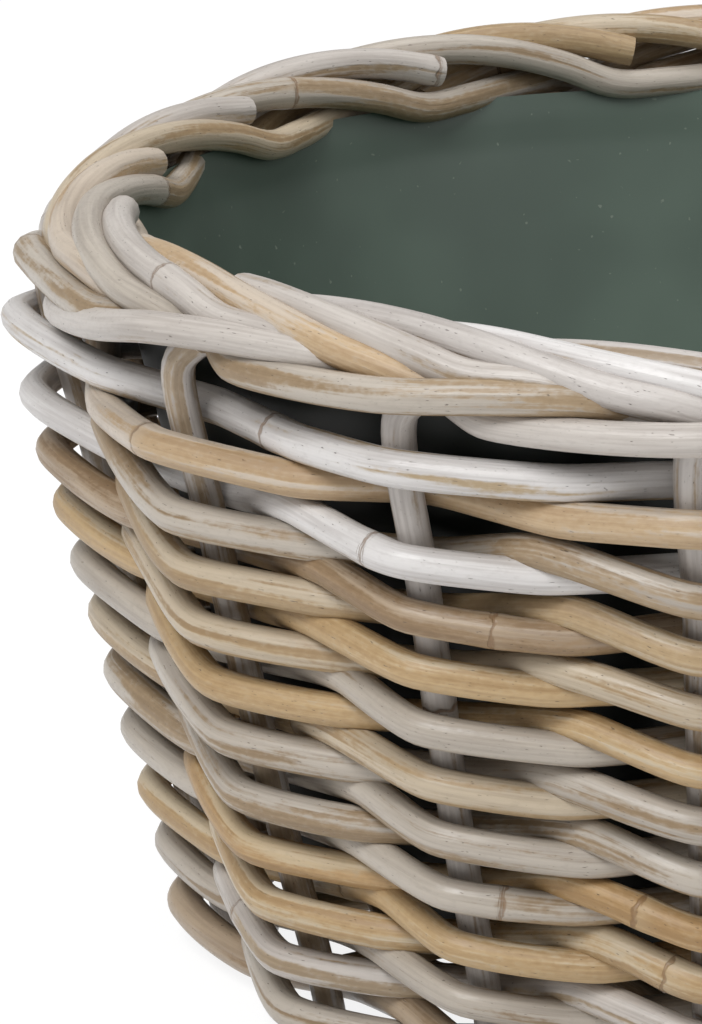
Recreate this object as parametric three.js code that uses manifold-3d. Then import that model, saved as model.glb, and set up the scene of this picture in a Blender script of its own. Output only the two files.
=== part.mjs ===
// Round woven planter basket of thick peeled cane, with a plastic liner.
// Millimetres, +Z up. The origin is on the floor, on the basket's axis.
//
// Sixteen upright stakes carry pairs of weaver rods that chase each other round: at each stake one rod of
// a pair passes outside and the other inside, and the two change places in every bay. Above the top row
// each stake leans over, runs behind its neighbour, climbs over the rim and lies down on the outside.
// A border rod is laid in beside each of these strands, and together they make the plaited border. The
// floor is a cross of base sticks, half of them threaded through slits in the others, with two rods
// woven through their spread ends. Each stick's ends are trapped between the foot row and the first
// wall row.

import * as THREE from 'three';
import { mergeVertices } from 'three/addons/utils/BufferGeometryUtils.js';
import Module from 'manifold-3d';

const wasm = await Module();
wasm.setup();

// Driving dimensions
const rimRadius = 157;          // stake circle at the top weaver row
const footRadius = 119;         // stake circle on the floor
const wallBulge = 1;            // how far the wall bows out between foot and rim
const stakeHeel = 3;            // plumb cut foot of each stake
const stakeDiameter = 7;
const weaverDiameter = 7;
const baseStickDiameter = 5;
const baseWeaverDiameter = 5;
const rowSlack = 0.4;           // play between weaver rows, over the height that a pair needs
const topRowPlay = 3;           // more play under each of the rows next to the border
const footClearance = 0.6;      // lowest weaver above the floor
const linerWall = 1.2;
const rodGap = 0.3;             // between rods that lie on each other
const endGap = 0.6;             // between the two cut ends of a weaver round
const slathReach = 16;          // half the length that the crossed base sticks lie side by side
const fanRadius = 40;           // from here out each base stick points straight at its stake
const baseWeaveInnerRadius = 44;

// Counts
const stakePairs = 8;
const wallRows = 11;
const looseRows = 2;            // rows next to the border
const weaverSides = 5;
const stakeSides = 6;
const baseSides = 5;
const linerSegments = 48;

// Shares of a bay, the arc between two stakes
const crossingShare = 0.25;     // where a pair of weavers changes places
const wallSamples = 4;          // stake points between the heel and the top row
const pairHeight = 1.7;         // height of a row, in weaver diameters
const slitDepth = 0.3;          // base stick above or below the floor's middle, in stick diameters

// The border's arch, in lays of one rod
const archHalfWidth = 1.52;
const archInset = 0.5;          // its middle inside the stake circle
const archSeat = 1.35;          // its ends above the top row
const archRise = 1.5;           // its crown above its ends
const archStep = 0.25;          // share of the quarter turn between two bends of a strand

// Values worked out from the dimensions
const stakeCount = 2 * stakePairs;
const bayAngle = (2 * Math.PI) / stakeCount;
const stakeClear = (stakeDiameter + weaverDiameter) / 2 + rodGap;
const weaverClear = weaverDiameter + rodGap;
const rowPitch = pairHeight * weaverDiameter + rowSlack;
const borderLay = stakeDiameter + rodGap;

const wallHeight = (wallRows - 1) * rowPitch + looseRows * topRowPlay;
const wallLean = Math.atan2(rimRadius - footRadius, wallHeight);

/** Radial distance from the stake circle to a weaver that passes a stake, at the given circle radius. */
function weaveOffset(radius) {
  const run = crossingShare * bayAngle * radius;
  const clear = stakeClear / Math.cos(wallLean);
  return (clear * run) / Math.sqrt(run * run - clear * clear);
}

/** How far a weaver rises or dips where the two rods of a pair cross, at the given circle radius. */
function crossingRise(radius) {
  const offset = weaveOffset(radius);
  const half = weaverClear / 2;
  return (half * offset) / Math.sqrt(offset * offset - half * half);
}

// Heights
const footRowHeight = crossingRise(footRadius) + weaverDiameter / 2 + footClearance;
const baseHeight = footRowHeight + weaverDiameter / 2 + rodGap + baseStickDiameter / 2;
const firstRowHeight = baseHeight + baseStickDiameter / 2 + rodGap + weaverDiameter / 2;
const topRowHeight = firstRowHeight + wallHeight;
const layerShift = slitDepth * baseStickDiameter;

/** Radius of the stake circle at a height. */
function stakeRadius(height) {
  const share = Math.max(0, (height - stakeHeel) / (topRowHeight - stakeHeel));
  return footRadius + (rimRadius - footRadius) * share + 4 * wallBulge * share * (1 - share);
}

/** Angle of a stake, or of a point a share of a bay past it. */
function stakeAngle(bays) {
  return (bays + 0.5) * bayAngle;
}

function polar(angle, radius, height) {
  return new THREE.Vector3(radius * Math.cos(angle), radius * Math.sin(angle), height);
}

/** A run of straight rod between bends: each bend is one station of the path. */
class RodPath extends THREE.Curve {
  constructor(bends) {
    super();
    this.bends = bends;
    this.spans = bends.length - 1;
  }

  getPointAt(share) {
    return this.bends[Math.round(share * this.spans)].clone();
  }

  getTangentAt(share) {
    const station = Math.round(share * this.spans);
    const before = this.bends[Math.max(station - 1, 0)];
    const after = this.bends[Math.min(station + 1, this.spans)];
    const here = this.bends[station];
    const arriving = here.clone().sub(before).normalize();
    const leaving = after.clone().sub(here).normalize();
    return arriving.add(leaving).normalize();
  }
}

/** A rod of round section, with flat cut ends, along its bends. */
function rodGeometry(bends, diameter, sides) {
  const section = new THREE.Shape();
  for (let side = 0; side < sides; side += 1) {
    const turn = (2 * Math.PI * side) / sides;
    const x = (diameter / 2) * Math.cos(turn);
    const y = (diameter / 2) * Math.sin(turn);
    if (side === 0) section.moveTo(x, y);
    else section.lineTo(x, y);
  }
  section.closePath();
  const path = new RodPath(bends);
  return new THREE.ExtrudeGeometry(section, { steps: path.spans, bevelEnabled: false, extrudePath: path });
}

// Finishes
const paleCane = new THREE.MeshStandardMaterial({ color: 0xc9c2b8, roughness: 0.6, metalness: 0 });
const honeyCane = new THREE.MeshStandardMaterial({ color: 0xb59a72, roughness: 0.6, metalness: 0 });
const greyCane = new THREE.MeshStandardMaterial({ color: 0x9c8f80, roughness: 0.65, metalness: 0 });
const linerPlastic = new THREE.MeshStandardMaterial({ color: 0x33463d, roughness: 0.5, metalness: 0 });

const basket = new THREE.Group();

function addPiece(group, name, geometry, material) {
  const mesh = new THREE.Mesh(geometry, material);
  mesh.name = name;
  group.add(mesh);
}

function twoDigits(number) {
  return String(number).padStart(2, '0');
}

// Stakes and border

/** A place in the border: bays past a stake, out from the stake circle and up from the top row. */
function borderPlace(bays, out, up) {
  return { bays, out: out * borderLay, up: up * borderLay };
}

/** Where a strand lies on the border's arch: share 0 is inside the rim, 1 on top, 2 outside. */
function archPlace(bays, share) {
  const turn = (Math.PI / 2) * share;
  return borderPlace(bays, -archInset - archHalfWidth * Math.cos(turn), archSeat + archRise * Math.sin(turn));
}

/** The strand climbs the arch by one share in each bay, from one share to another. */
function archClimb(bays, from, to) {
  const places = [];
  for (let share = from; share <= to; share += archStep) places.push(archPlace(bays + share - from, share));
  return places;
}

// A stake's own strand leans over above the top row, slips in behind its neighbour, climbs the arch
// from inside the rim to outside it and is tucked in below the next strand.
const stakeStrand = [
  borderPlace(0, 0, 0.45),
  borderPlace(0.18, -0.1, 1.5),
  borderPlace(0.45, -0.8, 1.46),
  borderPlace(0.75, -1.6, 1.42),
  ...archClimb(1, 0, 2),
  borderPlace(3.2, 1.02, 1.03),
];

// A border rod is laid in between two stakes' strands, with its cut end on the inner side of the rim.
const borderRodStrand = [
  ...archClimb(0, 0.5, 2),
  borderPlace(1.72, 0.99, 0.98),
];

function strandBends(index, strand) {
  return strand.map((place) => {
    const angle = stakeAngle(index + place.bays);
    return polar(angle, rimRadius + place.out, topRowHeight + place.up);
  });
}

function stakeBends(index) {
  const angle = stakeAngle(index);
  const bends = [polar(angle, footRadius, 0)];
  for (let sample = 0; sample <= wallSamples; sample += 1) {
    const height = stakeHeel + ((topRowHeight - stakeHeel) * sample) / wallSamples;
    bends.push(polar(angle, stakeRadius(height), height));
  }
  return [...bends, ...strandBends(index, stakeStrand)];
}

const stakes = new THREE.Group();
for (let index = 0; index < stakeCount; index += 1) {
  const geometry = rodGeometry(stakeBends(index), stakeDiameter, stakeSides);
  addPiece(stakes, `stake_${twoDigits(index + 1)}`, geometry, greyCane);
}
basket.add(stakes);

const border = new THREE.Group();
for (let index = 0; index < stakeCount; index += 1) {
  const geometry = rodGeometry(strandBends(index, borderRodStrand), stakeDiameter, stakeSides);
  addPiece(border, `border_rod_${twoDigits(index + 1)}`, geometry, paleCane);
}
basket.add(border);

// Weavers

/**
 * One rod of a pair, once round: phase 0 passes outside the even stakes, phase 1 the odd ones. Where the
 * pair changes places, the rod that comes out lies on top. In the row under the border it is the rod that
 * goes in, so that the pair clears the leaning stakes.
 */
function weaverBends(height, phase, early) {
  const radius = stakeRadius(height);
  const offset = weaveOffset(radius);
  const rise = crossingRise(radius);
  const share = early ? crossingShare : 1 - crossingShare;
  const endAngle = endGap / 2 / (radius - offset);
  const first = 1 - phase;
  const underBorder = height > topRowHeight - rowPitch / 2;
  const bends = [];
  for (let bay = 0; bay < stakeCount; bay += 1) {
    const outside = bay % 2 === 1;
    const side = outside ? offset : -offset;
    const start = bay === 0 ? endAngle : 0;
    const onTop = underBorder === outside;
    bends.push(polar(stakeAngle(first + bay) + start, radius + side, height));
    bends.push(polar(stakeAngle(first + bay + share), radius, height + (onTop ? rise : -rise)));
  }
  bends.push(polar(stakeAngle(first + stakeCount) - endAngle, radius - offset, height));
  return bends;
}

const weavers = new THREE.Group();

function addWeaverPair(name, height, early) {
  ['a', 'b'].forEach((letter, phase) => {
    const geometry = rodGeometry(weaverBends(height, phase, early), weaverDiameter, weaverSides);
    addPiece(weavers, `${name}_${letter}`, geometry, phase === 0 ? paleCane : honeyCane);
  });
}

addWeaverPair('foot_weaver', footRowHeight, false);
for (let row = 0; row < wallRows; row += 1) {
  const play = topRowPlay * Math.max(0, row + 1 - (wallRows - looseRows));
  addWeaverPair(`weaver_${twoDigits(row + 1)}`, firstRowHeight + row * rowPitch + play, row % 2 === 0);
}
basket.add(weavers);

// Woven floor

const spokeEndRadius = stakeRadius(baseHeight - baseStickDiameter / 2)
  - stakeDiameter / 2 / Math.cos(wallLean) - rodGap;

/** Which way the sticks of a spoke's layer are shifted: the sticks along X lie lower than those along Y. */
function spokeLayer(spoke) {
  const quarter = Math.floor(((spoke + stakeCount / 8) % stakeCount) / (stakeCount / 4));
  return quarter % 2 === 0 ? -1 : 1;
}

/** Height of a spoke's axis at a radius: layers lie apart at the cross and level out at the wall. */
function spokeHeight(spoke, radius) {
  const share = (spokeEndRadius - radius) / (spokeEndRadius - fanRadius);
  return baseHeight + spokeLayer(spoke) * layerShift * Math.min(1, Math.max(0, share));
}

function baseStickBends(stick, alongY) {
  const sticksPerLayer = stakePairs / 2;
  const place = stick - (sticksPerLayer - 1) / 2;
  const shift = place * (baseStickDiameter + rodGap);
  const spread = place * bayAngle;
  const height = baseHeight + (alongY ? layerShift : -layerShift);
  const bends = [
    polar(Math.PI - spread, spokeEndRadius, baseHeight),
    polar(Math.PI - spread, fanRadius, height),
    new THREE.Vector3(-slathReach, shift, height),
    new THREE.Vector3(slathReach, shift, height),
    polar(spread, fanRadius, height),
    polar(spread, spokeEndRadius, baseHeight),
  ];
  const turn = alongY ? Math.PI / 2 : 0;
  return bends.map((bend) => bend.applyAxisAngle(new THREE.Vector3(0, 0, 1), turn));
}

/** The closed body of a geometry, for joining. */
function closedBody(geometry) {
  const shell = geometry.clone();
  shell.deleteAttribute('normal');
  shell.deleteAttribute('uv');
  const merged = mergeVertices(shell);
  const vertProperties = new Float32Array(merged.attributes.position.array);
  const triVerts = new Uint32Array(merged.index.array);
  return new wasm.Manifold(new wasm.Mesh({ numProp: 3, vertProperties, triVerts }));
}

function bodyGeometry(body) {
  const { vertProperties, triVerts } = body.getMesh();
  const geometry = new THREE.BufferGeometry();
  geometry.setAttribute('position', new THREE.BufferAttribute(vertProperties, 3));
  geometry.setIndex(new THREE.BufferAttribute(triVerts, 1));
  return geometry;
}

const woven = new THREE.Group();
const baseSticks = [];
for (const alongY of [false, true]) {
  for (let stick = 0; stick < stakePairs / 2; stick += 1) {
    baseSticks.push(closedBody(rodGeometry(baseStickBends(stick, alongY), baseStickDiameter, baseSides)));
  }
}
const baseCross = baseSticks.reduce((joined, stick) => joined.add(stick));
addPiece(woven, 'base_cross', bodyGeometry(baseCross), greyCane);

const wallInside = stakeRadius(baseHeight) - weaveOffset(stakeRadius(baseHeight)) - weaverDiameter / 2;
const baseLay = baseWeaverDiameter + rodGap;
const baseWeaveOuterRadius = wallInside - rodGap - baseWeaverDiameter / 2;
const baseRounds = Math.floor((baseWeaveOuterRadius - baseWeaveInnerRadius) / (2 * baseLay) - 0.5);

/** Height of a floor weaver's axis over or under the spoke that it crosses, at a radius. */
function baseWeaveOffset(radius) {
  const clear = (baseStickDiameter + baseWeaverDiameter) / 2 + rodGap;
  const run = (bayAngle * radius) / 2;
  return (clear * run) / Math.sqrt(run * run - clear * clear);
}

/** One of the two rods chased round the floor, over one spoke and under the next, spiralling out. */
function baseWeaverBends(phase) {
  const bends = [];
  for (let step = 0; step <= baseRounds * stakeCount; step += 1) {
    const spoke = (step + phase * (stakeCount / 2)) % stakeCount;
    const radius = baseWeaveInnerRadius + (2 * baseLay * step) / stakeCount;
    const over = step % 2 === phase % 2;
    const rise = over ? baseWeaveOffset(radius) : -baseWeaveOffset(radius);
    bends.push(polar(stakeAngle(spoke), radius, spokeHeight(spoke, radius) + rise));
  }
  return bends;
}

['a', 'b'].forEach((letter, phase) => {
  const geometry = rodGeometry(baseWeaverBends(phase), baseWeaverDiameter, baseSides);
  addPiece(woven, `base_weaver_${letter}`, geometry, honeyCane);
});
basket.add(woven);

// Liner

const linerFloor = spokeHeight(stakeCount / 4, baseWeaveInnerRadius)
  + baseWeaveOffset(baseWeaveInnerRadius) + baseWeaverDiameter / 2 + rodGap;

/** Outside radius of the liner where it lies against the inner weavers. */
function linerRadius(height) {
  return stakeRadius(height) - weaveOffset(stakeRadius(height)) - weaverDiameter / 2 - 2 * rodGap;
}

// The liner ends just under the border's inner strands.
const linerTop = topRowHeight + archSeat * borderLay - stakeDiameter / 2 - 2 * rodGap;
const linerProfile = [
  new THREE.Vector2(0, linerFloor),
  new THREE.Vector2(linerRadius(linerFloor), linerFloor),
  new THREE.Vector2(linerRadius(linerTop), linerTop),
  new THREE.Vector2(linerRadius(linerTop) - linerWall, linerTop),
  new THREE.Vector2(linerRadius(linerFloor) - linerWall, linerFloor + linerWall),
  new THREE.Vector2(0, linerFloor + linerWall),
];
const linerGeometry = new THREE.LatheGeometry(linerProfile, linerSegments);
linerGeometry.rotateX(Math.PI / 2);
addPiece(basket, 'liner', linerGeometry, linerPlastic);

export default basket;
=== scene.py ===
"""Looks of the round woven planter basket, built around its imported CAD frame.

Every cane takes the course of its CAD solid as one smooth bent rod, with the unevenness of hand work and
the nodes, streaks and worn whitewash of peeled rattan. The liner is a thin plastic film. Lengths are in
metres, +Z is up, and the origin is the frame's own.
"""

import logging
import math
from dataclasses import dataclass, field
from enum import Enum
from typing import Union

import bpy
import numpy as np
from bpy.types import Material, Node, NodeSocket, Object
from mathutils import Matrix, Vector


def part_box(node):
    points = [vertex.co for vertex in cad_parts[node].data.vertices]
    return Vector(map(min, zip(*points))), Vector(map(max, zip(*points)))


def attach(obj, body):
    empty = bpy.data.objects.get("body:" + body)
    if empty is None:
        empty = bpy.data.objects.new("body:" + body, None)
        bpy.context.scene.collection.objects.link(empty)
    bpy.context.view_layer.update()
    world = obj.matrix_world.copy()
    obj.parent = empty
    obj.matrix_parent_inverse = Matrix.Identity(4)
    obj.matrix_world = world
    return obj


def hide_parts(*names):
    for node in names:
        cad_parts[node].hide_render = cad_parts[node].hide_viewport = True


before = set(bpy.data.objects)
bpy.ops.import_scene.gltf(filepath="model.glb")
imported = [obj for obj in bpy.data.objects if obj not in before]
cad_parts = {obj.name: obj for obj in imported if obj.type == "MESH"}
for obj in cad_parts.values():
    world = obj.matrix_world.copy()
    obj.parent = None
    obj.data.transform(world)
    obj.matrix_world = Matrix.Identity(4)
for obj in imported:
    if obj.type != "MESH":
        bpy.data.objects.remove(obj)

log = logging.getLogger("basket")

BODY = "root"
IMAGE_WIDTH = 702
IMAGE_HEIGHT = 1024
SPLINE_SAMPLES = 24
LEAST_SPAN = 1e-6
TINY = 1e-9
LEVEL = 1e-5

Colour = tuple[float, float, float, float]
Point = tuple[float, float, float]
Relief = tuple[float, float]


class Seed(Enum):
    """Where the chance draws of each kind of piece start."""

    WEAVER = 100
    STAKE = 200
    BORDER_ROD = 300
    BASE_STICK = 400
    BASE_WEAVER = 450
    STAKE_SWELL = 500
    ROD_SWELL = 600


def paint(red: int, green: int, blue: int) -> Colour:
    """Turns a screen colour into the linear one that a shader takes.

    Args:
        red: Red from 0 to 255.
        green: Green from 0 to 255.
        blue: Blue from 0 to 255.

    Returns:
        The linear colour, opaque.
    """
    def linear(level: int) -> float:
        """Undoes the screen curve of one channel."""
        share = level / 255
        return share / 12.92 if share <= 0.04045 else ((share + 0.055) / 1.055) ** 2.4

    return linear(red), linear(green), linear(blue), 1.0


class Value:
    """A number that varies over a surface: a socket that takes part in Python expressions."""

    def __init__(self, tree: "FinishTree", socket: NodeSocket) -> None:
        """Wraps one output socket of the tree."""
        self.tree = tree
        self.socket = socket

    def _math(self, operation: str, first: "Number", second: "Number" = 0.0) -> "Value":
        """Adds a Math node and returns its result."""
        made = self.tree.node("ShaderNodeMath", {"operation": operation}, {0: first, 1: second})
        return Value(self.tree, made.outputs[0])

    def __add__(self, other: "Number") -> "Value":
        """This value plus another."""
        return self._math("ADD", self, other)

    def __sub__(self, other: "Number") -> "Value":
        """This value less another."""
        return self._math("SUBTRACT", self, other)

    def __rsub__(self, other: "Number") -> "Value":
        """Another less this value."""
        return self._math("SUBTRACT", other, self)

    def __mul__(self, other: "Number") -> "Value":
        """This value times another."""
        return self._math("MULTIPLY", self, other)

    __radd__ = __add__
    __rmul__ = __mul__

    def __abs__(self) -> "Value":
        """This value without its sign."""
        return self._math("ABSOLUTE", self)

    def cosine(self) -> "Value":
        """The cosine of this angle."""
        return self._math("COSINE", self)

    def sine(self) -> "Value":
        """The sine of this angle."""
        return self._math("SINE", self)

    def ease(self, low: float, high: float) -> "Value":
        """A soft step of this value.

        Args:
            low: Where the step starts from 0.
            high: Where the step reaches 1.

        Returns:
            The step, from 0 to 1.
        """
        settings = {"interpolation_type": "SMOOTHSTEP"}
        made = self.tree.node("ShaderNodeMapRange", settings, {0: self, 1: low, 2: high})
        return Value(self.tree, made.outputs[0])


Number = Union[Value, float]
Input = Union[Value, NodeSocket, float, tuple]


class FinishTree:
    """The node tree of one finish."""

    def __init__(self, name: str) -> None:
        """Starts a material with no nodes."""
        self.material = bpy.data.materials.new(name)
        self.material.use_nodes = True
        self.tree = self.material.node_tree
        self.tree.nodes.clear()

    def node(
        self, kind: str, settings: dict[str, object], inputs: dict[Union[int, str], Input],
    ) -> Node:
        """Adds a node.

        Args:
            kind: The node's type.
            settings: Its own settings, set before its sockets.
            inputs: The value or link of each socket, by index or name.

        Returns:
            The new node.
        """
        made = self.tree.nodes.new(kind)
        for key, setting in settings.items():
            setattr(made, key, setting)
        for key, given in inputs.items():
            if isinstance(given, Value):
                given = given.socket
            if isinstance(given, NodeSocket):
                self.tree.links.new(given, made.inputs[key])
            else:
                made.inputs[key].default_value = given
        return made

    def noise(self, place: NodeSocket, scale: float, detail: float) -> Value:
        """Cloudy noise round 0.5 at a place, with features of one unit over the scale."""
        inputs = {"Vector": place, "Scale": scale, "Detail": detail}
        return Value(self, self.node("ShaderNodeTexNoise", {}, inputs).outputs[0])

    def vector(self, x: Number, y: Number, z: Number) -> NodeSocket:
        """A vector from three numbers."""
        return self.node("ShaderNodeCombineXYZ", {}, {0: x, 1: y, 2: z}).outputs[0]

    def mix(self, share: Number, first: Input, second: Input) -> NodeSocket:
        """Goes from a first colour to a second as the share goes from 0 to 1."""
        settings = {"data_type": "RGBA"}
        return self.node("ShaderNodeMix", settings, {0: share, 6: first, 7: second}).outputs[2]

    def surface(self, shader: NodeSocket) -> Material:
        """Ends the tree with a shader and returns its material."""
        self.node("ShaderNodeOutputMaterial", {"is_active_output": True}, {"Surface": shader})
        return self.material

    def skin(self, colour: Input, rough: Number, height: Value, relief: Relief) -> Material:
        """Ends the tree with an opaque skin.

        Args:
            colour: The skin's colour.
            rough: Its roughness.
            height: Its unevenness, from low to high.
            relief: How strongly the unevenness shows, and its depth.

        Returns:
            The tree's material.
        """
        inputs = {"Strength": relief[0], "Distance": relief[1], "Height": height}
        bump = self.node("ShaderNodeBump", {}, inputs).outputs[0]
        inputs = {"Base Color": colour, "Roughness": rough, "Normal": bump}
        return self.surface(self.node("ShaderNodeBsdfPrincipled", {}, inputs).outputs[0])


@dataclass(frozen=True)
class CaneFinish:
    """Peeled rattan under a worn whitewash. Its UV map gives metres along the rod and turns round it.

    Attributes:
        bare: The cane where no wash is left.
        dark: The cane's darker streaks.
        wash: The whitewash.
        cover: How much of the cane the wash covers, from 0 to 1.
        gloss: Roughness of the washed skin.
    """

    name: str
    bare: Colour
    dark: Colour
    wash: Colour
    cover: float
    gloss: float = 0.36

    node_line: Colour = paint(122, 92, 62)
    speck: Colour = paint(66, 52, 42)
    relief: Relief = (0.55, 0.0007)

    def material(self) -> Material:
        """Builds the cane's material.

        Returns:
            The material.
        """
        tree = FinishTree(self.name)
        uv = tree.node("ShaderNodeUVMap", {"uv_map": "UVMap"}, {})
        parts = tree.node("ShaderNodeSeparateXYZ", {}, {0: uv.outputs[0]})
        along = Value(tree, parts.outputs[0])
        turn = Value(tree, parts.outputs[1]) * math.tau
        east, north = turn.cosine(), turn.sine()
        gap = self._attribute(tree, "node_gap")
        stretch = self._attribute(tree, "stretch")
        normal = tree.node("ShaderNodeNewGeometry", {}, {}).outputs["Normal"]
        # How far the surface faces up, used to paint light onto the tops of the canes
        painted_top_light = Value(tree, tree.node("ShaderNodeSeparateXYZ", {}, {0: normal}).outputs[2])

        streaks = tree.noise(tree.vector(along * 12, east, north), 1.1, 2)
        fibres = tree.noise(tree.vector(along * 7, east, north), 5.0, 4)
        patches = tree.noise(tree.vector(along * 26, east, north), 0.9, 5)
        grain = tree.noise(tree.vector(along * 330, east * 2.4, north * 2.4), 1.5, 3)
        specks = tree.noise(tree.vector(along * 110, east * 1.7, north * 1.7), 6.0, 1).ease(0.71, 0.78)

        # Upward-facing sides get more wash and come out lighter: painted top light, added to the worn
        # whitewash
        wash = (self.cover + 0.14 * painted_top_light + (stretch - 0.5) * 0.5 + (streaks - 0.5) * 1.7
                + (patches - 0.5) * 1.3 + (fibres - 0.5) * 0.5 + (grain - 0.5) * 0.35).ease(0.36, 0.64)
        ring = tree.noise(tree.vector(stretch * 40, east, north), 1.2, 1)
        lip = gap + (ring - 0.5) * 0.003
        line = 1 - abs(lip).ease(0.0002, 0.0006)
        # A pale band just past each node line: a painted highlight on the node's raised lip
        painted_lip_highlight = (1 - lip.ease(0.0006, 0.006)) * lip.ease(-0.0002, 0.0004)

        bare = (streaks * 0.5 + fibres * 0.3 + grain * 0.2).ease(0.36, 0.64)
        cane = tree.mix(bare, self.dark, self.bare)
        skin = tree.mix((fibres * 0.4 + patches * 0.6).ease(0.34, 0.6), self._soiled(), self.wash)
        colour = tree.mix(wash, cane, skin)
        colour = tree.mix(grain.ease(0.52, 0.75) * 0.3, colour, self._soiled())
        # Paints that node-lip highlight in the wash colour
        colour = tree.mix(painted_lip_highlight * 0.3, colour, self.wash)
        colour = tree.mix(line * 0.65, colour, self.node_line)
        colour = tree.mix(specks * 0.65, colour, self.speck)

        rough = self.gloss + 0.10 * (1 - wash) + (fibres - 0.5) * 0.3 + (grain - 0.5) * 0.25
        height = (fibres * 0.3 + streaks * 0.9 + patches * 0.5 + grain * 0.18 + wash * 0.1
                  - specks * 0.4 - line * 0.6)
        return tree.skin(colour, rough, height, self.relief)

    def _soiled(self) -> Colour:
        """The wash where handling has greyed it."""
        red, green, blue, solid = self.wash
        return red * 0.72, green * 0.70, blue * 0.69, solid

    def _attribute(self, tree: FinishTree, name: str) -> Value:
        """Reads a number that the rod's mesh carries."""
        made = tree.node("ShaderNodeAttribute", {"attribute_name": name}, {})
        return Value(tree, made.outputs["Fac"])


@dataclass(frozen=True)
class CutEndFinish:
    """The sawn end of a cane, full of open pores."""

    name: str = "cane_cut_end"
    pith: Colour = paint(206, 184, 150)
    ring: Colour = paint(168, 136, 98)
    pore: Colour = paint(92, 68, 46)
    relief: Relief = (0.5, 0.0004)
    roughness: float = 0.75

    def material(self) -> Material:
        """Builds the cut end's material.

        Returns:
            The material.
        """
        tree = FinishTree(self.name)
        place = tree.node("ShaderNodeTexCoord", {}, {}).outputs["Object"]
        cells = tree.node("ShaderNodeTexVoronoi", {}, {"Vector": place, "Scale": 1900.0})
        pores = 1 - Value(tree, cells.outputs["Distance"]).ease(0.16, 0.34)
        clouds = tree.noise(place, 420.0, 3)
        colour = tree.mix(clouds.ease(0.35, 0.65), self.ring, self.pith)
        colour = tree.mix(pores * 0.8, colour, self.pore)
        return tree.skin(colour, self.roughness, 1 - pores, self.relief)


@dataclass(frozen=True)
class LinerFilm:
    """Dark green plastic film, a little creased and dusty, and darker on the side away from the middle,
    where shade is painted.
    """

    name: str = "liner_film"
    film: Colour = paint(95, 111, 100)
    shade: Colour = paint(77, 91, 82)
    dust: Colour = paint(150, 158, 146)
    # Near-black painted shade for the film's outer side, which shows through the gaps between the canes
    outside: Colour = paint(24, 30, 27)
    middle: Point = (0.0, 0.0, 0.1)
    relief: Relief = (0.3, 0.002)

    def material(self) -> Material:
        """Builds the film's material.

        Returns:
            The material.
        """
        tree = FinishTree(self.name)
        place = tree.node("ShaderNodeTexCoord", {}, {}).outputs["Object"]
        clouds = tree.noise(place, 14.0, 3)
        creases = tree.noise(place, 45.0, 4)
        dust = tree.noise(place, 620.0, 1).ease(0.74, 0.80)
        colour = tree.mix(clouds.ease(0.3, 0.7), self.shade, self.film)
        colour = tree.mix(dust * 0.45, colour, self.dust)
        normal = tree.node("ShaderNodeNewGeometry", {}, {}).outputs["Normal"]
        away = tree.node("ShaderNodeVectorMath", {"operation": "SUBTRACT"}, {0: place, 1: self.middle})
        inputs = {0: normal, 1: away.outputs[0]}
        painted_shade_side = tree.node("ShaderNodeVectorMath", {"operation": "DOT_PRODUCT"}, inputs)
        # The side that faces away from the middle is painted near black: painted shade
        colour = tree.mix(Value(tree, painted_shade_side.outputs["Value"]).ease(0.0, 0.02), colour, self.outside)
        rough = 0.42 + (clouds - 0.5) * 0.2 + dust * 0.3
        return tree.skin(colour, rough, clouds * 0.8 + creases * 0.3, self.relief)


class CaneTone(Enum):
    """The canes of the basket, from whitewashed to bare."""

    WHITE = CaneFinish("cane_white", paint(198, 178, 148), paint(166, 146, 116), paint(216, 213, 211), 0.90)
    PALE = CaneFinish("cane_pale", paint(180, 161, 134), paint(148, 129, 104), paint(195, 188, 181), 0.78)
    ASH = CaneFinish("cane_ash", paint(172, 150, 120), paint(138, 117, 90), paint(184, 175, 163), 0.62)
    BEIGE = CaneFinish("cane_beige", paint(194, 170, 137), paint(166, 139, 106), paint(196, 182, 165), 0.52)
    DRIFT = CaneFinish("cane_drift", paint(160, 135, 104), paint(130, 105, 76), paint(172, 152, 128), 0.42)
    TAN = CaneFinish("cane_tan", paint(182, 158, 122), paint(150, 125, 92), paint(192, 177, 154), 0.42)
    HONEY = CaneFinish("cane_honey", paint(191, 164, 123), paint(160, 131, 92), paint(198, 182, 155), 0.40)
    AMBER = CaneFinish("cane_amber", paint(188, 156, 112), paint(154, 122, 80), paint(194, 174, 142), 0.36)
    STAKE = CaneFinish("cane_stake", paint(176, 158, 134), paint(142, 124, 102), paint(192, 186, 181), 0.66)


def tones(names: str) -> tuple[CaneTone, ...]:
    """The tones of some names, parted by spaces."""
    return tuple(CaneTone[name] for name in names.split())


class Dresser:
    """Makes each finish once and hands it out."""

    def __init__(self) -> None:
        """Starts with no material made."""
        self._made: dict[str, Material] = {}

    def finish(self, finish: Union[CaneFinish, CutEndFinish, LinerFilm]) -> Material:
        """Returns the finish's material, built on first use."""
        self._made[finish.name] = self._made.get(finish.name) or finish.material()
        return self._made[finish.name]


@dataclass(frozen=True)
class Lobe:
    """An unevenness of hand work, greatest on one side of the basket and fading round it.

    Attributes:
        side: The angle at which it is greatest.
        most: How much it is there.
        power: How quickly it fades.
    """

    side: float = 0.0
    most: float = 0.0
    power: int = 3

    def at(self, angle: float) -> float:
        """How much it is at an angle round the basket."""
        return self.most * max(0.0, math.cos(angle - self.side)) ** self.power


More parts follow.
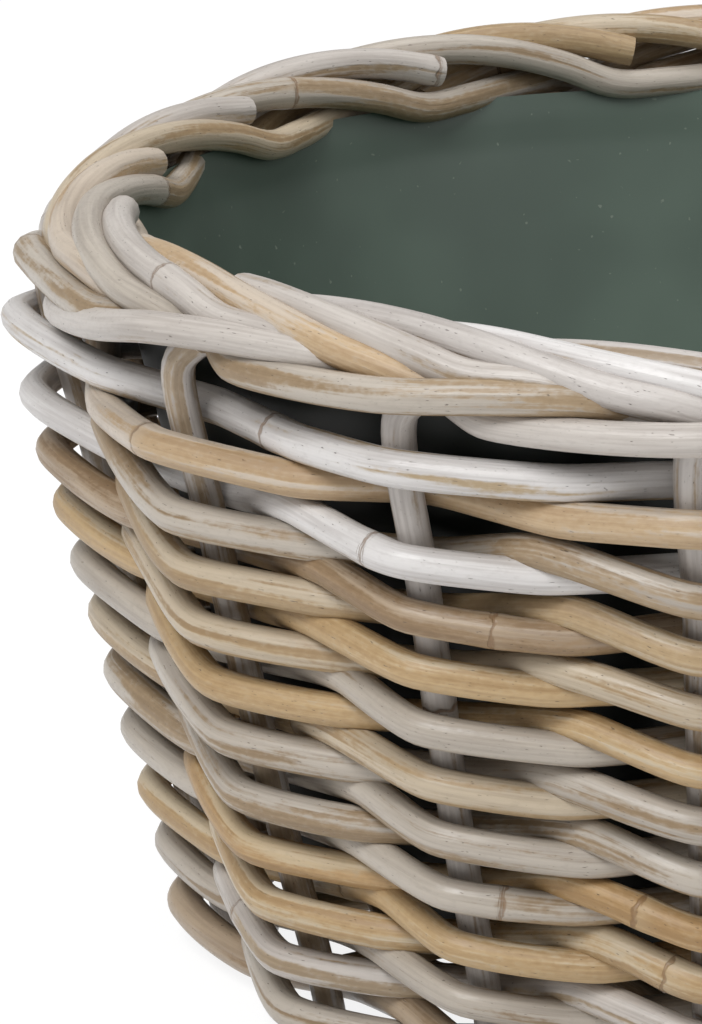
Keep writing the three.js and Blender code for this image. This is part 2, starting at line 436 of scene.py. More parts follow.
@dataclass(frozen=True)
class Weave:
    """The basket's plan: where stakes, rows and the border lie. Lengths are in metres."""

    rim_radius: float = 0.157
    foot_radius: float = 0.119
    wall_bulge: float = 0.001
    stake_heel: float = 0.003
    cane: float = 0.007
    floor_cane: float = 0.005
    rod_gap: float = 0.0003
    end_gap: float = 0.0006
    row_slack: float = 0.0004
    top_row_play: float = 0.003
    foot_clearance: float = 0.0006
    stake_count: int = 16
    wall_rows: int = 11
    loose_rows: int = 2
    crossing_share: float = 0.25
    pair_height: float = 1.7
    arch_half_width: float = 1.12
    arch_inset: float = 0.9
    arch_seat: float = 1.45
    arch_rise: float = 1.36
    arch_step: float = 0.25
    arch_end: float = 1.75
    arch_tilt: float = 0.3
    arch_high_side: float = math.radians(95)
    sags: tuple[Lobe, ...] = (Lobe(math.radians(165), 0.005), Lobe(math.radians(275), 0.0055))
    pinch: Lobe = Lobe(math.radians(175), 0.0035)
    slump: Lobe = Lobe(math.radians(170), 0.2)
    slip: float = math.radians(11)
    slip_bays: tuple[float, float, float] = (4.0, 8.0, 9.0)

    @property
    def bay(self) -> float:
        """Angle between two stakes."""
        return math.tau / self.stake_count

    @property
    def lay(self) -> float:
        """Distance between the axes of two canes that lie on each other."""
        return self.cane + self.rod_gap

    @property
    def row_pitch(self) -> float:
        """Height from one weaver row to the next."""
        return self.pair_height * self.cane + self.row_slack

    @property
    def wall_height(self) -> float:
        """Height from the lowest wall row to the highest."""
        return (self.wall_rows - 1) * self.row_pitch + self.loose_rows * self.top_row_play

    @property
    def lean(self) -> float:
        """Angle of the wall from upright."""
        return math.atan2(self.rim_radius - self.foot_radius, self.wall_height)

    @property
    def foot_row(self) -> float:
        """Height of the foot row."""
        return self.rise(self.foot_radius) + self.cane / 2 + self.foot_clearance

    @property
    def floor_height(self) -> float:
        """Height of the middle of the woven floor."""
        return self.foot_row + self.cane / 2 + self.rod_gap + self.floor_cane / 2

    @property
    def first_row(self) -> float:
        """Height of the lowest wall row."""
        return self.floor_height + self.floor_cane / 2 + self.rod_gap + self.cane / 2

    @property
    def top_row(self) -> float:
        """Height of the highest wall row."""
        return self.first_row + self.wall_height

    def row_height(self, row: int) -> float:
        """Height of a wall row, counted from 1 at the foot of the wall; 0 is the foot row."""
        play = self.top_row_play * max(0, row - (self.wall_rows - self.loose_rows))
        return self.first_row + (row - 1) * self.row_pitch + play if row else self.foot_row

    def offset(self, radius: float) -> float:
        """Distance from the stake circle to a weaver that passes a stake, at a circle radius."""
        run, clear = self.crossing_share * self.bay * radius, self.lay / math.cos(self.lean)
        return clear * run / math.sqrt(run * run - clear * clear)

    def rise(self, radius: float) -> float:
        """How far a weaver rises or dips where a pair changes places, at a circle radius."""
        offset, half = self.offset(radius), self.lay / 2
        return half * offset / math.sqrt(offset * offset - half * half)

    def stake_radius(self, height: float) -> float:
        """Radius of the stake circle at a height.

        Args:
            height: Height above the floor.

        Returns:
            The radius.
        """
        share = max(0.0, (height - self.stake_heel) / (self.top_row - self.stake_heel))
        spread = (self.rim_radius - self.foot_radius) * share
        return self.foot_radius + spread + 4 * self.wall_bulge * share * (1 - share)

    def angle(self, bays: float) -> float:
        """The angle some bays round from the first stake, where some stakes stand off their even places."""
        share = np.interp(bays % self.stake_count, self.slip_bays, (0.0, 1.0, 0.0))
        return (bays + 0.5) * self.bay - self.slip * float(share)

    def place(self, bays: float, radius: float, height: float) -> Point:
        """The point some bays round from the first stake, at a radius and a height."""
        angle = self.angle(bays)
        return radius * math.cos(angle), radius * math.sin(angle), height

    def sag_at(self, angle: float) -> float:
        """How far the rim hangs low at an angle round the basket."""
        return sum(lobe.at(angle) for lobe in self.sags)

    def border_place(self, bays: float, out: float, up: float) -> Point:
        """A point of the border.

        Args:
            bays: How far round it is from the first stake, in bays.
            out: How far out from the stake circle, in lays.
            up: How far up from the top row, in lays.

        Returns:
            The point.
        """
        angle, share = self.angle(bays), min(1.0, max(0.0, up))
        radius = self.rim_radius + out * self.lay - self.pinch.at(angle) * share
        return self.place(bays, radius, self.top_row + up * self.lay - self.sag_at(angle) * share)

    def arch(self, bays: float, start: float, swell: float) -> list[Point]:
        """A strand's climb over the border's arch.

        Args:
            bays: Where the climb starts.
            start: The share at which it starts: 0 is inside the rim, 1 on top and 2 outside.
            swell: How high this strand climbs, as a share of the arch's rise.

        Returns:
            The climb's points, up to the share at which the strand goes in behind the top row.
        """
        points = []
        for share in [*np.arange(start, self.arch_end - self.arch_step / 2, self.arch_step), self.arch_end]:
            here, turn = bays + share - start, math.pi / 2 * share
            angle = self.angle(here)
            tilt = 1 + self.arch_tilt * math.cos(angle - self.arch_high_side) - self.slump.at(angle)
            out = -self.arch_inset - self.arch_half_width * math.cos(turn)
            up = self.arch_seat + self.arch_rise * swell * tilt * math.sin(turn)
            points.append(self.border_place(here, out, up))
        return points


def smooth_line(bends: np.ndarray, step: float, spring: float) -> np.ndarray:
    """Runs one smooth curve through the bends of a rod.

    Args:
        bends: The bends, one row each.
        step: Distance between two points of the result.
        spring: How evenly the curve turns: 1 all along it, less for sharper bends and straighter runs.

    Returns:
        Points at even distances along the curve.
    """
    ends = [2 * bends[0] - bends[1], *bends, 2 * bends[-1] - bends[-2]]
    knots = np.array(ends)
    share = np.linspace(0, 1, SPLINE_SAMPLES, endpoint=False)[:, None]
    runs = []
    for before, here, there, after in zip(knots, knots[1:], knots[2:], knots[3:]):
        sides = ((before, here), (here, there), (there, after))
        first, middle, last = [max(np.linalg.norm(b - a), LEAST_SPAN) ** 0.5 for a, b in sides]
        leave = (here - before) / first - (there - before) / (first + middle)
        arrive = (after - there) / last - (after - here) / (middle + last)
        leave, arrive = [(turn * middle + there - here) * spring for turn in (leave, arrive)]
        cubic = 2 * (here - there) + leave + arrive
        square = 3 * (there - here) - 2 * leave - arrive
        runs.append(here + share * (leave + share * (square + share * cubic)))
    dense = np.concatenate([*runs, bends[-1:]])
    travelled = np.concatenate([[0], np.cumsum(np.linalg.norm(np.diff(dense, axis=0), axis=1))])
    stops = np.linspace(0, travelled[-1], max(8, round(travelled[-1] / step)))
    return np.stack([np.interp(stops, travelled, dense[:, axis]) for axis in range(3)], axis=1)


@dataclass
class Cane:
    """One rod of cane.

    Attributes:
        bends: The points that it bends through.
        diameter: The mean diameter of such rods.
        tone: Its finish.
        seed: Fixes its own wobble, nodes, thickness and streaks.
        spring: How evenly it turns, from 0 to 1; less makes sharper bends and straighter runs.

    The rest says how it strays, where its nodes sit and how its thickness varies, in metres or as shares.
    """

    name: str
    bends: list[Point]
    diameter: float
    tone: CaneTone
    seed: int
    step: float = 0.002
    wobble: float = 0.0006
    wobble_lengths: tuple[float, ...] = (0.21, 0.12, 0.07)
    wobble_fade: float = 0.03
    node_pitch: float = 0.22
    node_spread: tuple[float, float] = (0.75, 1.25)
    node_start: tuple[float, float] = (0.3, 1.2)
    node_width: float = 0.0035
    node_swell: float = 0.05
    taper: float = 0.04
    taper_length: float = 0.4
    scatter: float = 0.045
    end_ease: float = 0.95
    spring: float = 1.0
    bevel_steps: int = 5
    streak_range: float = 50.0
    _chance: np.random.Generator = field(init=False, repr=False)
    _travelled: np.ndarray = field(init=False, repr=False)
    _line: np.ndarray = field(init=False, repr=False)
    _gap: np.ndarray = field(init=False, repr=False)
    _stretch: np.ndarray = field(init=False, repr=False)

    def build(self, dresser: Dresser) -> Object:
        """Models the rod.

        Args:
            dresser: Hands out the finishes.

        Returns:
            The rod as a mesh object at the origin.
        """
        self._chance = np.random.default_rng(self.seed)
        self._line = smooth_line(np.array(self.bends), self.step, self.spring)
        self._travelled = np.linspace(0, self.step * (len(self._line) - 1), len(self._line))
        self._sway()
        self._grow_nodes()
        rod = self._tube(self._thickness())
        self._mark(rod, self._chance.uniform(0, self.streak_range))
        rod.data.materials.clear()
        rod.data.materials.append(dresser.finish(self.tone.value))
        rod.data.materials.append(dresser.finish(CutEndFinish()))
        return rod

    def _sway(self) -> None:
        """Bends the line a little off its true course, less towards its ends."""
        travelled = self._travelled
        fade = np.clip(np.minimum(travelled, travelled[-1] - travelled) / self.wobble_fade, 0, 1)
        outward = self._line * [1, 1, 0]
        outward /= np.linalg.norm(outward, axis=1)[:, None] + TINY
        for direction in (outward, np.array([[0, 0, 1.0]])):
            wave = np.zeros(len(travelled))
            for length in self.wobble_lengths:
                wave += np.sin(travelled * math.tau / length + self._chance.uniform(0, math.tau))
            wave /= len(self.wobble_lengths)
            self._line = self._line + direction * (wave * fade * self.wobble)[:, None]

    def _grow_nodes(self) -> None:
        """Sets nodes along the rod, and a chance value for each stretch between two of them."""
        chance, travelled = self._chance, self._travelled
        count = int(travelled[-1] / (0.8 * self.node_pitch)) + 3
        pitches = self.node_pitch * chance.uniform(*self.node_spread, count)
        nodes = np.cumsum(pitches) - pitches[0] * chance.uniform(*self.node_start)
        nearest = np.abs(travelled[:, None] - nodes[None, :]).argmin(axis=1)
        self._gap = travelled - nodes[nearest]
        self._stretch = chance.uniform(0, 1, count + 1)[np.searchsorted(nodes, travelled)]

    def _thickness(self) -> np.ndarray:
        """Makes the rod uneven, swollen at its nodes and eased at its cut ends.

        Returns:
            Its radius at each point of the line.
        """
        slow = np.sin(self._travelled * math.tau / self.taper_length + self._chance.uniform(0, math.tau))
        thick = 1 + self.taper * slow + self._chance.uniform(-self.scatter, self.scatter)
        thick += self.node_swell * np.exp(-(self._gap / self.node_width) ** 2)
        thick[[0, -1]] *= self.end_ease
        return self.diameter / 2 * thick

    def _tube(self, thick: np.ndarray) -> Object:
        """Draws the line as a round bevelled curve and turns it into a mesh.

        Args:
            thick: The rod's radius at each point of the line.

        Returns:
            The rod's mesh object.
        """
        bpy.ops.object.select_all(action="DESELECT")
        bpy.ops.curve.primitive_nurbs_path_add()
        rod = bpy.context.object
        rod.name = self.name
        curve = rod.data
        curve.splines.clear()
        spline = curve.splines.new("POLY")
        spline.points.add(len(self._line) - 1)
        spline.points.foreach_set("co", np.column_stack([self._line, np.ones(len(self._line))]).ravel())
        spline.points.foreach_set("radius", thick)
        curve.dimensions = "3D"
        curve.twist_mode = "MINIMUM"
        curve.bevel_depth = 1.0
        curve.bevel_resolution = self.bevel_steps
        curve.use_fill_caps = True
        bpy.ops.object.convert(target="MESH")
        bpy.ops.object.shade_smooth()
        rod.data.name = self.name
        return rod

    def _mark(self, rod: Object, start: float) -> None:
        """Writes what the finish reads: metres along and turns round, and the nodes of the rod.

        Args:
            rod: The rod's mesh object.
            start: Where this rod lies in the finish's endless streaks.
        """
        mesh = rod.data
        uv = np.zeros(len(mesh.loops) * 2)
        mesh.uv_layers["UVMap"].data.foreach_get("uv", uv)
        uv = uv.reshape(-1, 2)
        corner = np.zeros(len(mesh.loops), int)
        mesh.loops.foreach_get("vertex_index", corner)
        sizes = np.zeros(len(mesh.polygons), int)
        mesh.polygons.foreach_get("loop_total", sizes)
        on_end = np.repeat(sizes == 3, sizes)
        rings = np.zeros(len(mesh.vertices))
        rings[corner[~on_end]] = uv[~on_end, 0]
        ring = np.rint(rings * (len(self._line) - 1)).astype(int)
        for name, marks in (("node_gap", self._gap), ("stretch", self._stretch)):
            attribute = mesh.attributes.new(name, "FLOAT", "POINT")
            attribute.data.foreach_set("value", marks[ring].astype(np.float32))
        uv[:, 0] = np.where(on_end, 0, uv[:, 0] * self._travelled[-1]) + start
        mesh.uv_layers["UVMap"].data.foreach_set("uv", uv.ravel())
        mesh.polygons.foreach_set("material_index", (sizes == 3).astype(np.int32))
        flat = mesh.attributes.get("sharp_face") or mesh.attributes.new("sharp_face", "BOOLEAN", "FACE")
        flat.data.foreach_set("value", sizes == 3)


def hand_over(piece: Object, node: str) -> None:
    """Puts a finished piece in the place of its CAD node.

    Args:
        piece: The piece.
        node: The CAD node that it stands for.
    """
    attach(piece, BODY)
    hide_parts(node)
    log.info("%s: %d faces", piece.name, len(piece.data.polygons))


@dataclass(frozen=True)
class RowSet:
    """How the two rods of a row lie.

    Attributes:
        push: How far each rod lies above the row's CAD height at a stake; half of it between stakes.
        lift: How far the upper rod rises where the pair changes places, as a share of the CAD rise.
        dip: How far the lower rod drops there, as the same share.
        hitch: How much higher the row lies on one side.
        bulge: How much further out a rod that passes outside a stake lies on one side.
        turns: Where a rod comes out and where one goes in, in shares of the bay, if not at the usual one.
    """

    push: tuple[float, float] = (0.0012, -0.0012)
    lift: float = 1.1
    dip: float = 0.45
    hitch: Lobe = Lobe()
    bulge: Lobe = Lobe()
    turns: tuple[float, ...] = ()


@dataclass
class WeaverRows:
    """The rows of the wall, each a pair of rods, and the foot row below them.

    Attributes:
        hug: How close a weaver lies to the stakes, as a share of its CAD offset.
        early_share: Where a pair changes places, as a share of the bay.
        spring: How evenly a weaver turns, from 0 to 1; less makes sharper bends at the stakes.
        stand: How far up and out the plain rows stand on one side.
        stand_lift: The most of it that goes into height, as a share.
        stand_growth: How quickly the height grows from the foot up.
        set_of_row: How the rods of the rows next to the border lie; the other rows are plain.
        row_tones: The tones of each row's pair, from the foot row up.
    """

    weave: Weave
    dresser: Dresser
    diameter: float = 0.0074
    hug: float = 0.85
    early_share: float = 0.45
    spring: float = 0.62
    stand: Lobe = Lobe(math.radians(180), 0.003, 8)
    stand_lift: float = 0.9
    stand_growth: float = 1.5
    set_of_row: dict[int, RowSet] = field(default_factory=lambda: {
        10: RowSet(push=(0.0052, -0.0012), lift=0.4, dip=0.6, bulge=Lobe(math.radians(180), 0.003, 8)),
        11: RowSet(push=(0.007, 0.007), hitch=Lobe(math.radians(214), 0.0035, 10),
                   bulge=Lobe(math.radians(178), -0.0035, 8), turns=(0.3, 0.66)),
    })
    row_tones: tuple[tuple[CaneTone, ...], ...] = tuple(map(tones, (
        "DRIFT ASH", "ASH PALE", "HONEY HONEY", "ASH AMBER", "ASH ASH", "TAN ASH",
        "ASH HONEY", "HONEY TAN", "DRIFT TAN", "WHITE ASH", "WHITE BEIGE", "ASH PALE",
    )))

    def lay_of(self, row: int) -> RowSet:
        """How a row's rods lie; a plain row stands up and out on one side, more so towards the rim.

        Args:
            row: The row, counted from 0 at the foot.

        Returns:
            The lie of its rods.
        """
        share = row / (self.weave.wall_rows - 2)
        side, most, power = self.stand.side, self.stand.most, self.stand.power
        up = Lobe(side, most * min(self.stand_lift, self.stand_growth * share), power)
        return self.set_of_row.get(row, RowSet(hitch=up, bulge=Lobe(side, most * share ** 2, power)))

    def bends(self, row: int, phase: int) -> list[Point]:
        """One rod of a pair, once round.

        Args:
            row: The row, counted from 0 at the foot.
            phase: 0 for the rod that passes outside the even stakes, 1 for the other.

        Returns:
            The rod's bends.
        """
        plan = self.weave
        height = plan.row_height(row)
        radius = plan.stake_radius(height)
        offset, rise, lay = plan.offset(radius) * self.hug, plan.rise(radius), self.lay_of(row)
        share = self.early_share if row % 2 == 1 else 1 - self.early_share
        gap = plan.end_gap / 2 / (radius - offset) / plan.bay
        first, under_border = 1 - phase, row == plan.wall_rows
        level = height + lay.push[phase]
        points = []
        for bay in range(plan.stake_count):
            outside = bay % 2 == 1
            on_top = phase == 0 if row == plan.wall_rows - 1 else outside == under_border
            start = gap if bay == 0 else 0
            angle = plan.angle(first + bay)
            high = lay.hitch.at(angle) - (plan.sag_at(angle) if under_border else 0.0)
            out = offset + lay.bulge.at(angle) if outside else -offset
            points.append(plan.place(first + bay + start, radius + out, level + high))
            turn = lay.push[phase] / 2 + rise * (lay.lift if on_top else -lay.dip)
            crossing = first + bay + (lay.turns[outside] if lay.turns else share)
            points.append(plan.place(crossing, radius, height + turn + high))
        points.append(plan.place(first + plan.stake_count - gap, radius - offset, level))
        return points

    def build(self) -> None:
        """Models and dresses every row, from the foot up."""
        for row, pair in enumerate(self.row_tones):
            for phase, letter in enumerate("ab"):
                name = f"weaver_{row:02d}_{letter}" if row else f"foot_weaver_{letter}"
                bends = self.bends(row, phase)
                seed = Seed.WEAVER.value + 2 * row + phase
                cane = Cane(f"{name}_cane", bends, self.diameter, pair[phase], seed, spring=self.spring)
                hand_over(cane.build(self.dresser), name)


@dataclass
class StakesAndBorder:
    """The upright stakes, whose upper ends are laid over into the border, and the rods between them.

    Points of the border are given as bays round from the piece's own place, and as lays out and up.

    Attributes:
        lean_over: A stake's way from the wall to the start of its arch.
        stake_tail: Its way in under the strands that follow.
        stake_swell: The least and greatest height of its arch, as shares.
        rod_tail: A border rod's way in.
        rod_start: The least and greatest share of the arch at which a border rod starts.
        rod_swell: The least and greatest height of its arch, as shares.
    """

    weave: Weave
    dresser: Dresser
    diameter: float = 0.0070
    wall_samples: int = 4
    lean_over: tuple[Point, ...] = (
        (0.06, 0, 0.9), (0.17, -0.4, 1.45), (0.45, -1.1, 1.5), (0.75, -1.72, 1.42),
    )
    stake_tail: tuple[Point, ...] = ((2.95, 0.2, 1.6), (3.14, 0.0, 1.2))
    stake_swell: tuple[float, float] = (0.9, 1.08)
    rod_tail: tuple[Point, ...] = ((1.5, 0.05, 1.84), (1.72, -0.25, 1.45), (1.86, -0.5, 1.2))
    rod_start: tuple[float, float] = (0.35, 0.65)
    rod_swell: tuple[float, float] = (0.92, 1.1)
    stake_tones: tuple[CaneTone, ...] = tones(
        "DRIFT ASH TAN ASH ASH TAN ASH BEIGE "
        "STAKE STAKE STAKE STAKE PALE ASH STAKE ASH"
    )
    rod_tones: tuple[CaneTone, ...] = tones(
        "ASH TAN DRIFT BEIGE TAN PALE PALE BEIGE "
        "PALE PALE WHITE PALE TAN PALE BEIGE ASH"
    )

    def _along(self, index: int, way: tuple[Point, ...]) -> list[Point]:
        """Some points of the border, given from the place of one piece."""
        return [self.weave.border_place(index + bays, out, up) for bays, out, up in way]

    def stake_bends(self, index: int) -> list[Point]:
        """A stake from its cut foot up the wall and through the border.

        Args:
            index: The stake, counted from 0.

        Returns:
            The stake's bends.
        """
        plan = self.weave
        points = [plan.place(index, plan.foot_radius, 0)]
        for height in np.linspace(plan.stake_heel, plan.top_row, self.wall_samples + 1):
            points.append(plan.place(index, plan.stake_radius(height), height))
        chance = np.random.default_rng(Seed.STAKE_SWELL.value + index)
        arch = plan.arch(index + 1, 0, chance.uniform(*self.stake_swell))
        return points + self._along(index, self.lean_over) + arch + self._along(index, self.stake_tail)

    def rod_bends(self, index: int) -> list[Point]:
        """A border rod from its cut end inside the rim to its tail below the next strand.

        Args:
            index: The rod, counted from 0.

        Returns:
            The rod's bends.
        """
        chance = np.random.default_rng(Seed.ROD_SWELL.value + index)
        start = chance.uniform(*self.rod_start)
        arch = self.weave.arch(index + start - 0.5, start, chance.uniform(*self.rod_swell))
        return arch + self._along(index, self.rod_tail)

    def build(self) -> None:
        """Models and dresses the stakes and the border rods."""
        for index, tone in enumerate(self.stake_tones):
            name, seed = f"stake_{index + 1:02d}", Seed.STAKE.value + index
            cane = Cane(f"{name}_cane", self.stake_bends(index), self.diameter, tone, seed)
            stake = cane.build(self.dresser)
            for vertex in stake.data.vertices:
                vertex.co.z = max(0.0, vertex.co.z)
            hand_over(stake, name)
        for index, tone in enumerate(self.rod_tones):
            name, seed = f"border_rod_{index + 1:02d}", Seed.BORDER_ROD.value + index
            cane = Cane(f"{name}_cane", self.rod_bends(index), self.diameter, tone, seed)
            hand_over(cane.build(self.dresser), name)


@dataclass
class WovenFloor:
    """The cross of base sticks and the two rods that are woven through its spread ends."""

    weave: Weave
    dresser: Dresser
    slath_reach: float = 0.016
    fan_radius: float = 0.040
    inner_radius: float = 0.044
    slit_depth: float = 0.3

    @property
    def spoke_end(self) -> float:
        """Radius at which a base stick ends, against its stake."""
        radius = self.weave.stake_radius(self.weave.floor_height - self.weave.floor_cane / 2)
        return radius - self.weave.cane / 2 / math.cos(self.weave.lean) - self.weave.rod_gap

    @property
    def layer_shift(self) -> float:
        """How far a layer of sticks lies above or below the floor's middle."""
        return self.slit_depth * self.weave.floor_cane

    def stick_bends(self, stick: int, along_y: bool) -> list[Point]:
        """One base stick, straight through the cross and fanned out to its two stakes.

        Args:
            stick: The stick, counted from 0 in its layer.
            along_y: Whether its layer lies along Y, or else along X.

        Returns:
            The stick's bends.
        """
        plan = self.weave
        place = stick - (plan.stake_count / 4 - 1) / 2
        shift, spread = place * (plan.floor_cane + plan.rod_gap), place * plan.bay
        height = plan.floor_height + (self.layer_shift if along_y else -self.layer_shift)
        half = [
            (self.slath_reach, shift, height),
            (self.fan_radius * math.cos(spread), self.fan_radius * math.sin(spread), height),
            (self.spoke_end * math.cos(spread), self.spoke_end * math.sin(spread), plan.floor_height),
        ]
        points = [(-x, y, z) for x, y, z in reversed(half)] + half
        return [(-y, x, z) for x, y, z in points] if along_y else points

    def spoke_height(self, spoke: int, radius: float) -> float:
        """Height of a spoke's axis at a radius.

        Args:
            spoke: The spoke, counted from 0.
            radius: Distance from the middle of the floor.

        Returns:
            The height.
        """
        count = self.weave.stake_count
        quarter = int(((spoke + count / 8) % count) // (count / 4))
        share = (self.spoke_end - radius) / (self.spoke_end - self.fan_radius)
        side = -1 if quarter % 2 == 0 else 1
        return self.weave.floor_height + side * self.layer_shift * min(1.0, max(0.0, share))

    def weaver_bends(self, phase: int) -> list[Point]:
        """One of the two rods, over one spoke and under the next, spiralling out.

        Args:
            phase: 0 or 1, for the rod.

        Returns:
            The rod's bends.
        """
        plan = self.weave
        lay = plan.floor_cane + plan.rod_gap
        wall = plan.stake_radius(plan.floor_height)
        outer = wall - plan.offset(wall) - plan.cane / 2 - plan.rod_gap - plan.floor_cane / 2
        rounds = math.floor((outer - self.inner_radius) / (2 * lay) - 0.5)
        points = []
        for step in range(rounds * plan.stake_count + 1):
            spoke = (step + phase * plan.stake_count // 2) % plan.stake_count
            radius = self.inner_radius + 2 * lay * step / plan.stake_count
            run = plan.bay * radius / 2
            rise = lay * run / math.sqrt(run * run - lay * lay)
            over = step % 2 == phase % 2
            height = self.spoke_height(spoke, radius) + (rise if over else -rise)
            points.append(plan.place(spoke, radius, height))
        return points

    def build(self) -> None:
        """Models and dresses the floor."""
        plan = self.weave
        sticks = []
        for number in range(plan.stake_count // 2):
            bends = self.stick_bends(number % 4, along_y=number >= 4)
            seed = Seed.BASE_STICK.value + number
            cane = Cane(f"base_stick_{number + 1}", bends, plan.floor_cane, CaneTone.TAN, seed)
            sticks.append(cane.build(self.dresser))
        bpy.ops.object.select_all(action="DESELECT")
        for stick in sticks:
            stick.select_set(True)
        bpy.context.view_layer.objects.active = sticks[0]
        bpy.ops.object.join()
        sticks[0].name = sticks[0].data.name = "base_cross_canes"
        hand_over(sticks[0], "base_cross")
        for phase, letter in enumerate("ab"):
            name, seed = f"base_weaver_{letter}", Seed.BASE_WEAVER.value + phase
            tone = CaneTone.HONEY if phase else CaneTone.DRIFT
            cane = Cane(f"{name}_cane", self.weaver_bends(phase), plan.floor_cane, tone, seed, wobble=0.0)
            hand_over(cane.build(self.dresser), name)


@dataclass
class Liner:
    """The plastic film that lines the basket, pressed against the canes and hemmed below the border."""

    dresser: Dresser
    segments: int = 224
    wall_rings: int = 40
    wall: float = 0.0006
    corner: float = 0.006
    lip: float = 0.003
    hem: float = 0.008
    hem_step: float = 0.0006
    billow: float = 0.0011
    waves: tuple[tuple[int, float], ...] = ((5, 2.0), (9, -3.0), (16, 1.0), (23, 4.0))
    wave_fade: float = 6.0
    seed: int = 17
    corner_rings: int = 7
    crease: float = math.radians(50)

    def profile(self) -> list[tuple[float, float]]:
        """Radius and height up the film's outside, from the edge of its floor to its upper edge.

        Returns:
            The radii and heights, one pair to a ring.
        """
        low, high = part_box("liner")
        floor, top = low.z + self.wall, high.z + self.lip
        foot, mouth = self._radius_at_floor(), high.x - self.wall
        slope = (mouth - foot) / (top - floor)
        points = []
        for share in np.linspace(0, 1, self.corner_rings):
            turn = math.pi / 2 * share
            out = foot - self.corner + self.corner * math.sin(turn)
            points.append((out, floor + self.corner * (1 - math.cos(turn))))
        for share in np.linspace(0, 1, self.wall_rings)[1:]:
            height = floor + self.corner + (top - floor - self.corner) * share
            tuck = self.hem_step if height > top - self.hem else 0.0
            points.append((foot + slope * (height - floor) - tuck, height))
        return points

    def _radius_at_floor(self) -> float:
        """Outside radius of the CAD liner's floor.

        Returns:
            The radius, less the film's thickness.
        """
        corners = np.array([vertex.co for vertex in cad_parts["liner"].data.vertices])
        lowest = corners[corners[:, 2] < corners[:, 2].min() + LEVEL]
        return float(np.hypot(lowest[:, 0], lowest[:, 1]).max()) - self.wall

    def build(self) -> None:
        """Models and dresses the film."""
        profile = self.profile()
        bpy.ops.object.select_all(action="DESELECT")
        radius, height = profile[0]
        bpy.ops.mesh.primitive_circle_add(
            vertices=self.segments, radius=radius, fill_type="TRIFAN", location=(0, 0, height))
        film = bpy.context.object
        film.name = film.data.name = "liner_film"
        bpy.ops.object.transform_apply(location=True)
        bpy.ops.object.mode_set(mode="EDIT")
        bpy.ops.mesh.select_all(action="DESELECT")
        bpy.ops.mesh.select_non_manifold()
        for (radius, height), (wider, higher) in zip(profile, profile[1:]):
            bpy.ops.mesh.extrude_region_move(TRANSFORM_OT_translate={"value": (0, 0, higher - height)})
            grow = wider / radius
            bpy.ops.transform.resize(value=(grow, grow, 1), center_override=(0, 0, higher))
        bpy.ops.mesh.select_all(action="SELECT")
        bpy.ops.mesh.normals_make_consistent(inside=False)
        bpy.ops.object.mode_set(mode="OBJECT")
        self._billow(film)
        solid = film.modifiers.new("film", "SOLIDIFY")
        solid.thickness = self.wall
        solid.offset = -1
        bpy.ops.object.modifier_apply(modifier=solid.name)
        bpy.ops.object.shade_smooth_by_angle(angle=self.crease)
        film.data.materials.append(self.dresser.finish(LinerFilm()))
        hand_over(film, "liner")

    def _billow(self, film: Object) -> None:
        """Presses slow waves into the film, inwards only, fading out towards its floor.

        Args:
            film: The film's mesh object.
        """
        mesh = film.data
        points = np.zeros(len(mesh.vertices) * 3)
        mesh.vertices.foreach_get("co", points)
        points = points.reshape(-1, 3)
        angle = np.arctan2(points[:, 1], points[:, 0])
        low, high = points[:, 2].min(), points[:, 2].max()
        share = (points[:, 2] - low) / (high - low)
        chance = np.random.default_rng(self.seed)
        wave = np.zeros(len(points))
        for count, climb in self.waves:
            wave += np.sin(count * angle + climb * share + chance.uniform(0, math.tau))
        wave /= len(self.waves)
        inward = self.billow * (1 + wave) / 2 * np.clip(share * self.wave_fade, 0, 1)
        radius = np.hypot(points[:, 0], points[:, 1]) + TINY
        points[:, :2] *= (1 - inward / radius)[:, None]
        mesh.vertices.foreach_set("co", points.ravel())
        mesh.update()


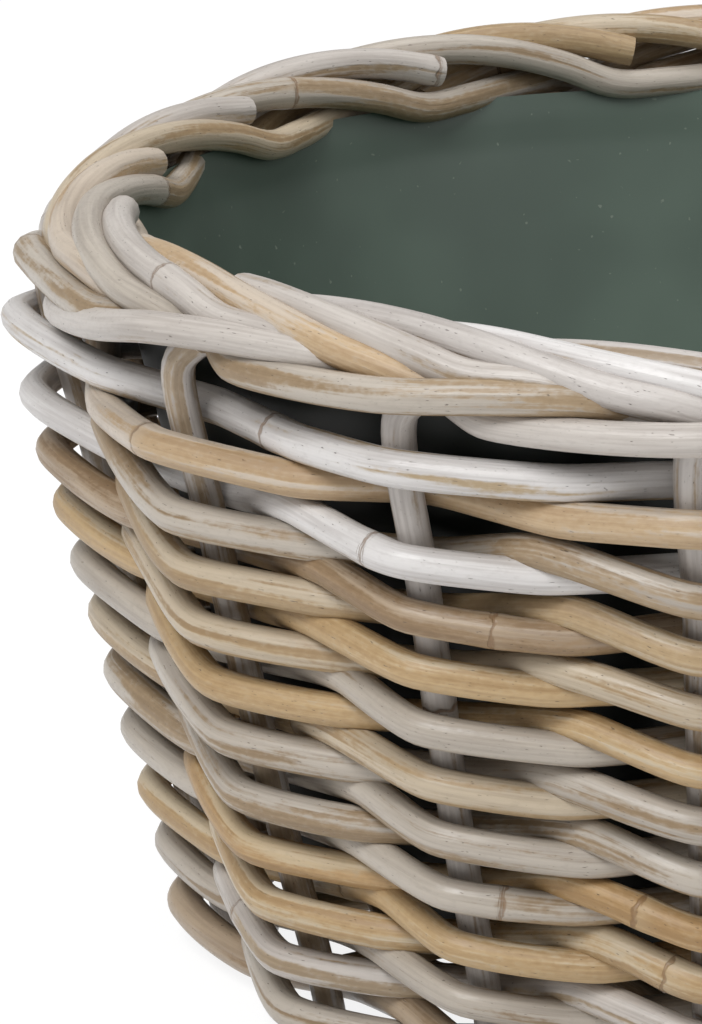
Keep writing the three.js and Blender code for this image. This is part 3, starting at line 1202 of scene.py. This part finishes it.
@dataclass
class Studio:
    """A plain white floor under soft light from above and the left."""

    floor_size: float = 12.0
    floor_colour: Colour = (0.86, 0.86, 0.86, 1.0)
    glow: float = 0.80
    glow_strength: float = 1.1
    sky: float = 0.40
    aim_height: float = 0.1
    lamps: tuple[tuple[str, Point, float, float], ...] = (
        ("key", (-0.85, -0.95, 1.55), 0.8, 22.0),
        ("top", (0.15, 0.25, 1.8), 1.2, 11.0),
        ("fill", (1.3, -0.9, 0.9), 1.4, 4.5),
    )

    def build(self) -> None:
        """Sets the floor, the lamps and the sky."""
        self._floor()
        self._world()
        for name, place, size, power in self.lamps:
            self._lamp(name, place, size, power)
        bpy.context.scene.view_settings.view_transform = "Standard"

    def _background_ray(self, tree: FinishTree) -> Value:
        """1 where a ray comes from the camera, or from it through gloss or glass.

        Args:
            tree: The tree in which it is asked.

        Returns:
            The value, 0 elsewhere.
        """
        rays = tree.node("ShaderNodeLightPath", {}, {})
        seen = Value(tree, rays.outputs["Is Camera Ray"]) + Value(tree, rays.outputs["Is Glossy Ray"])
        return (seen + Value(tree, rays.outputs["Is Transmission Ray"])).ease(0.0, 1.0)

    def _floor(self) -> None:
        """A wide floor that looks white and keeps the basket's shadow."""
        bpy.ops.object.select_all(action="DESELECT")
        bpy.ops.mesh.primitive_plane_add(size=self.floor_size, location=(0, 0, 0))
        floor = bpy.context.object
        floor.name = "studio_floor"
        tree = FinishTree("studio_floor")
        matt = tree.node("ShaderNodeBsdfDiffuse", {}, {"Color": self.floor_colour})
        glow = tree.node("ShaderNodeEmission", {}, {"Color": (1, 1, 1, 1), "Strength": self.glow_strength})
        share = self._background_ray(tree) * self.glow
        both = tree.node("ShaderNodeMixShader", {}, {0: share, 1: matt.outputs[0], 2: glow.outputs[0]})
        floor.data.materials.append(tree.surface(both.outputs[0]))

    def _world(self) -> None:
        """An even sky that looks white."""
        world = bpy.data.worlds.new("studio_sky")
        world.use_nodes = True
        bpy.context.scene.world = world
        tree = world.node_tree
        tree.nodes["Background"].inputs["Strength"].default_value = self.sky
        tree.nodes["Background"].inputs["Color"].default_value = (1, 1, 1, 1)

    def _lamp(self, name: str, place: Point, size: float, power: float) -> None:
        """Hangs a soft square lamp that faces the basket.

        Args:
            name: The lamp's name.
            place: Where it hangs.
            size: Its side.
            power: Its power in watts.
        """
        bpy.ops.object.light_add(type="AREA", location=place)
        lamp = bpy.context.object
        lamp.name = name
        lamp.data.shape = "SQUARE"
        lamp.data.size = size
        lamp.data.energy = power
        aim = np.array(place) - (0, 0, self.aim_height)
        flat = math.hypot(aim[0], aim[1])
        lamp.rotation_euler = (math.atan2(flat, aim[2]), 0, math.atan2(aim[1], aim[0]) + math.pi / 2)


@dataclass
class PhotoCamera:
    """The camera, placed as in the photograph and turned so that the basket's axis lies right of the frame.

    Attributes:
        azimuth: Degrees round the basket, 0 looking along +Y.
        elevation: Degrees above the horizon.
        distance: From the camera to the target.
        target_height: Height of the target on the basket's axis.
        target_pixel: Where the target falls in the image.
        focal: Focal length in pixels.
    """

    azimuth: float = -5.16
    elevation: float = 13.99
    distance: float = 1.609
    target_height: float = 0.1190
    target_pixel: tuple[float, float] = (784.6, 401.8)
    focal: float = 7499.0
    sensor: float = 36.0

    def build(self) -> None:
        """Makes the camera and turns it to its view."""
        turn, climb = math.radians(self.azimuth), math.radians(self.elevation)
        level, rise = math.cos(climb), math.sin(climb)
        back = np.array([math.sin(turn) * level, -math.cos(turn) * level, rise])
        place = np.array([0, 0, self.target_height]) + back * self.distance
        right = (self.target_pixel[0] - IMAGE_WIDTH / 2) / self.focal
        up = (IMAGE_HEIGHT / 2 - self.target_pixel[1]) / self.focal
        length = math.sqrt(right * right + up * up + 1)
        right, up, ahead = right / length, up / length, 1 / length
        pitch = math.asin(-back[2] / math.hypot(up, ahead)) - math.atan2(up, ahead)
        swing = math.atan2(right, ahead * math.cos(pitch) - up * math.sin(pitch))
        bpy.ops.object.camera_add(location=place, rotation=(math.pi / 2 + pitch, 0, turn + swing))
        camera = bpy.context.object
        camera.data.sensor_fit = "VERTICAL"
        camera.data.sensor_height = camera.data.sensor_width = self.sensor
        camera.data.lens = self.focal / IMAGE_HEIGHT * self.sensor
        bpy.context.scene.camera = camera


def main() -> None:
    """Builds the basket's looks on the CAD frame, then the studio and the camera."""
    logging.basicConfig(level=logging.INFO, format="%(name)s: %(message)s")
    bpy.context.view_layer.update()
    weave, dresser = Weave(), Dresser()
    WeaverRows(weave, dresser).build()
    StakesAndBorder(weave, dresser).build()
    WovenFloor(weave, dresser).build()
    Liner(dresser).build()
    Studio().build()
    PhotoCamera().build()


if __name__ == "__main__":
    main()
